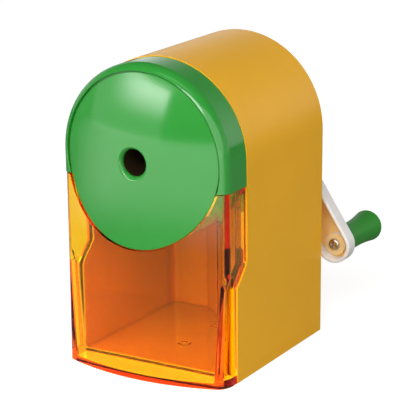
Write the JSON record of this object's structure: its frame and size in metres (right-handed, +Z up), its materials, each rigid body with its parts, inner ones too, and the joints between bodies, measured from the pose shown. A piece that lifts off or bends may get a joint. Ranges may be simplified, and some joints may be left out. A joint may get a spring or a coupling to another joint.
{
  "type": "pencil sharpener",
  "caption": "Hand-crank desktop pencil sharpener: round-topped shell, domed front with pencil hole, clear tinted shavings drawer, planetary helical cutter and rear crank with knob.",
  "frame": {"origin": "on the desk under the middle of the shell's footprint, at the centre of the base pad's underside", "axes": "+Z up, -Y the front where the pencil goes in, +Y the crank, +X to the right seen from the front"},
  "size_m": [0.0677, 0.0988, 0.0992],
  "materials": {
    "shell_plastic": "glossy moulded opaque plastic",
    "cover_plastic": "glossy moulded opaque plastic",
    "knob_plastic": "satin moulded plastic",
    "drawer_plastic": "clear tinted, polished",
    "arm_plastic": "translucent natural plastic",
    "black_plastic": "satin moulded plastic",
    "carrier_plastic": "satin moulded plastic",
    "gear_plastic": "natural bearing plastic",
    "frame_casting": "as cast",
    "tool_steel": "ground",
    "screw_steel": "bright plated",
    "pad_rubber": "matt"
  },
  "bodies": {
    "housing": {"shell": "shell_plastic", "base_pad": "pad_rubber", "front_cover": "cover_plastic", "pencil_guide": "black_plastic", "mechanism_frame": "frame_casting", "ring_gear": "gear_plastic", "frame_bushing": "gear_plastic", "rear_bushing": "gear_plastic", "frame_screws": "screw_steel", "cover_screws": "screw_steel"},
    "crank": {"crank_shaft": "tool_steel", "drive_pin": "tool_steel", "cutter_carrier": "carrier_plastic", "cutter_axle": "tool_steel", "cutter_washers": "tool_steel", "thrust_washer": "tool_steel", "retaining_clip": "tool_steel", "crank_arm": "arm_plastic", "hub_washer": "screw_steel", "hub_screw": "screw_steel", "knob_spindle": "gear_plastic", "knob_screw": "screw_steel"},
    "cutter_unit": {"cutter": "tool_steel", "cutter_pinion": "tool_steel"},
    "knob": {"knob": "knob_plastic"},
    "drawer": {"drawer": "drawer_plastic"}
  },
  "joints": [
    {"name": "crank_turn", "type": "hinge", "parent": "housing", "child": "crank", "pos_m": [0, 0.02765, 0.0692], "axis": [0, 1, 0], "continuous": true},
    {"name": "cutter_spin", "type": "hinge", "parent": "crank", "child": "cutter_unit", "pos_m": [0, -0.01515, 0.07856], "axis": [0, 0.9833, -0.1822], "continuous": true},
    {"name": "knob_spin", "type": "hinge", "parent": "crank", "child": "knob", "pos_m": [0.03158, 0.04825, 0.02877], "axis": [0, 1, 0], "continuous": true},
    {"name": "drawer_slide", "type": "slide", "parent": "housing", "child": "drawer", "axis": [0, -1, 0], "range_m": [0, 0.045]}
  ],
  "couplings": [
    {"joint": "cutter_spin", "follows": "crank_turn", "ratio": -3.1667}
  ]
}
